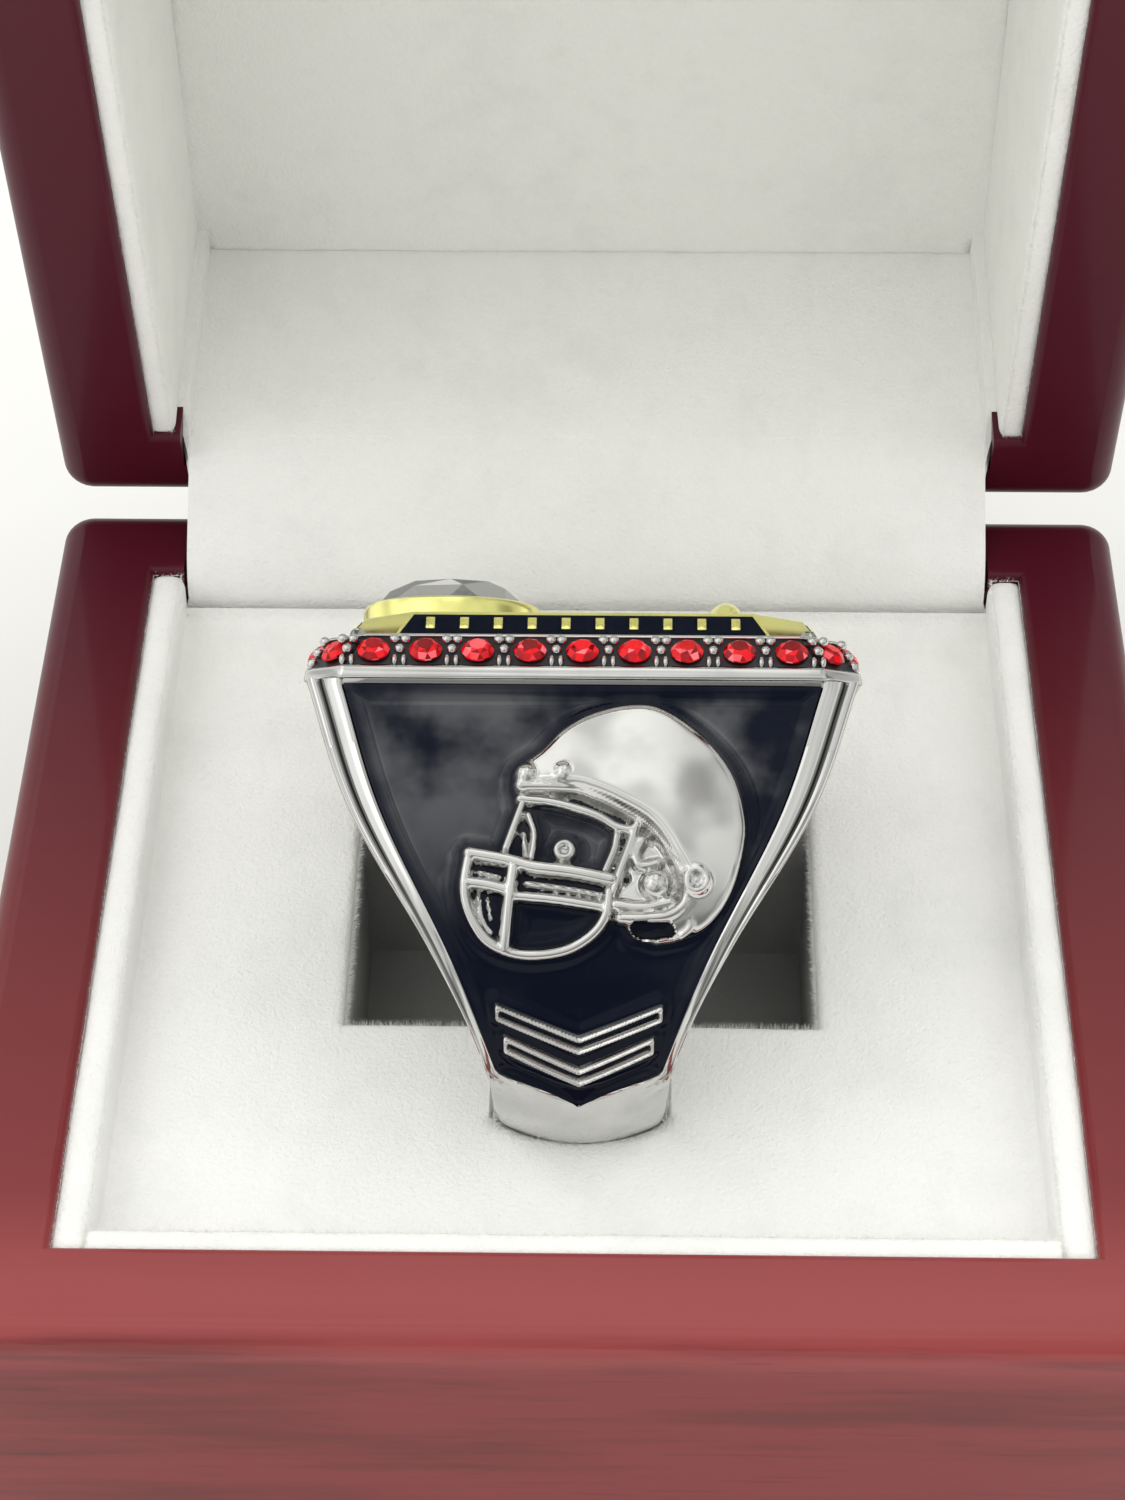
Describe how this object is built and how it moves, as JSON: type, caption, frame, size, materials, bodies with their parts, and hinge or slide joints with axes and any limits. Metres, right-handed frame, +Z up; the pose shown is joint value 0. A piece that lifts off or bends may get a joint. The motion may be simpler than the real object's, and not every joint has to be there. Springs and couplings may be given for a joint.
{
  "type": "ring display case",
  "caption": "Hinged lacquered wooden ring box with a white velvet lining, shown open with a football championship ring leaning back in its slotted pad.",
  "frame": {"origin": "middle of the case's underside, on the felt", "axes": "+Z up, -Y towards the front of the case, +X to the right seen from the front; the hinge runs along X"},
  "size_m": [0.07, 0.0944, 0.0998],
  "materials": {
    "lacquer": "deep red gloss lacquer over fine grain",
    "board": "plain board",
    "felt": "felt",
    "velvet": "white short-pile velvet",
    "foam": "open-cell foam",
    "brass": "satin",
    "silver": "bright polished",
    "dark_enamel": "glossy blue-black enamel",
    "gold": "bright gold plate",
    "red_stone": "faceted red",
    "clear_stone": "faceted clear"
  },
  "bodies": {
    "base": {"base_shell": "lacquer", "base_floor": "board", "base_felt": "felt", "base_liner_left": "velvet", "base_liner_right": "velvet", "base_liner_front": "velvet", "pad_cover": "velvet", "slot_lining": "velvet", "hinge_flap": "velvet", "pad_core": "foam", "hinge_leaf_base": "brass", "hinge_pin": "brass", "hinge_screws_base": "brass"},
    "lid": {"lid_shell": "lacquer", "lid_liner_left": "velvet", "lid_liner_right": "velvet", "lid_liner_front": "velvet", "lid_liner_rear": "velvet", "lid_pad": "velvet", "hinge_leaf_lid": "brass", "hinge_screws_lid": "brass"},
    "ring": {"ring_band": "silver", "bezel_ledge": "silver", "bezel_lip": "silver", "stone_prongs": "silver", "helmet_front": "silver", "helmet_rear": "silver", "face_guard_front": "silver", "face_guard_rear": "silver", "chevrons_front": "silver", "chevrons_rear": "silver", "enamel_front": "dark_enamel", "enamel_rear": "dark_enamel", "stone_channel": "dark_enamel", "strip_enamel": "dark_enamel", "top_plate": "gold", "strip_bars": "gold", "stone_cup": "gold", "football_boss": "gold", "red_stones": "red_stone", "large_stone": "clear_stone", "clear_stones": "clear_stone"}
  },
  "joints": [
    {"name": "lid_hinge", "type": "hinge", "parent": "base", "child": "lid", "pos_m": [0, 0.0334, 0.0302], "axis": [1, 0, 0], "range_deg": [0, 81.3], "deforming": ["hinge_flap"]},
    {"name": "ring_lift", "type": "slide", "parent": "base", "child": "ring", "axis": [0, 0, 1], "range_m": [0, 0.05]}
  ]
}
